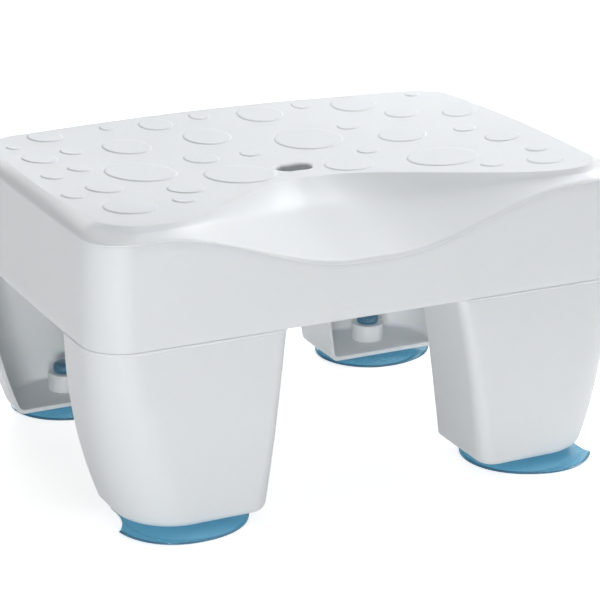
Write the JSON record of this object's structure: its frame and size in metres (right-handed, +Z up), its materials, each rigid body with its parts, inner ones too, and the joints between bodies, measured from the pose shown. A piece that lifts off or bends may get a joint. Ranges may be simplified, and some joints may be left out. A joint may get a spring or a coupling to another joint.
{
  "type": "bath seat",
  "caption": "Moulded bath seat with a dished, padded top, a scooped front edge and a drain slot, on open channel legs that stand on suction cups.",
  "frame": {"origin": "on the floor, under the middle of the bounding box", "axes": "+X to the right along the front edge, +Y to the back, +Z up"},
  "size_m": [0.4028, 0.3243, 0.2129],
  "materials": {
    "white_moulding": "white moulding, finely grained on top and satin on the skirt and legs",
    "blue_rubber": "glossy translucent blue",
    "stainless_steel": "plain bright screws"
  },
  "bodies": {
    "seat": {"seat_shell": "white_moulding", "leg_front_left": "white_moulding", "leg_front_right": "white_moulding", "leg_rear_left": "white_moulding", "leg_rear_right": "white_moulding", "leg_screw_front_left_inner": "stainless_steel", "leg_screw_front_left_outer": "stainless_steel", "leg_screw_front_right_inner": "stainless_steel", "leg_screw_front_right_outer": "stainless_steel", "leg_screw_rear_left_inner": "stainless_steel", "leg_screw_rear_left_outer": "stainless_steel", "leg_screw_rear_right_inner": "stainless_steel", "leg_screw_rear_right_outer": "stainless_steel"},
    "cup_front_left": {"suction_cup_front_left": "blue_rubber"},
    "cup_front_right": {"suction_cup_front_right": "blue_rubber"},
    "cup_rear_left": {"suction_cup_rear_left": "blue_rubber"},
    "cup_rear_right": {"suction_cup_rear_right": "blue_rubber"}
  },
  "joints": [
    {"name": "turn_cup_front_left", "type": "hinge", "parent": "seat", "child": "cup_front_left", "pos_m": [-0.13, -0.118, 0], "axis": [0, 0, 1], "continuous": true},
    {"name": "turn_cup_front_right", "type": "hinge", "parent": "seat", "child": "cup_front_right", "pos_m": [0.13, -0.118, 0], "axis": [0, 0, 1], "continuous": true},
    {"name": "turn_cup_rear_left", "type": "hinge", "parent": "seat", "child": "cup_rear_left", "pos_m": [-0.13, 0.118, 0], "axis": [0, 0, 1], "continuous": true},
    {"name": "turn_cup_rear_right", "type": "hinge", "parent": "seat", "child": "cup_rear_right", "pos_m": [0.13, 0.118, 0], "axis": [0, 0, 1], "continuous": true}
  ]
}
